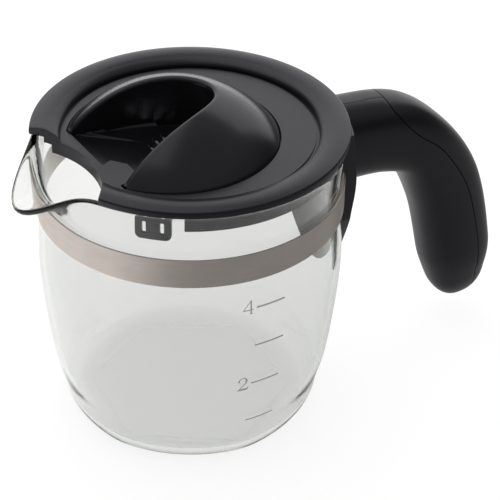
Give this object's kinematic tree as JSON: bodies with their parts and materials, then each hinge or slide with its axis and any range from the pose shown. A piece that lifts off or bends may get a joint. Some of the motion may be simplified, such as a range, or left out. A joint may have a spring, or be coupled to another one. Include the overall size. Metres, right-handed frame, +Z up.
{
  "type": "coffee carafe",
  "caption": "Glass coffee carafe with a spout, a steel neck band, a hollow side handle and a lift-off lid with a drip hood and a slotted drain.",
  "frame": {"origin": "centre of the flat base, on the surface the carafe stands on", "axes": "+Z up along the jug's axis, +X towards the handle, -X towards the spout"},
  "size_m": [0.2029, 0.115, 0.1328],
  "materials": {
    "clear_glass": "clear, polished",
    "band_steel": "brushed along the strip",
    "plated_steel": "zinc plated",
    "satin_black": "fine satin grain",
    "gloss_black": "polished"
  },
  "bodies": {
    "jug": {"glass_jug": "clear_glass", "neck_band": "band_steel", "clamp_nut": "plated_steel", "screw_washer": "plated_steel", "draw_screw": "plated_steel", "handle_body": "satin_black", "handle_cover": "satin_black"},
    "lid": {"lid_cover": "satin_black", "lid_funnel": "gloss_black"}
  },
  "joints": [
    {"name": "lid_lift", "type": "slide", "parent": "jug", "child": "lid", "axis": [0, 0, 1], "range_m": [0, 0.06]}
  ]
}
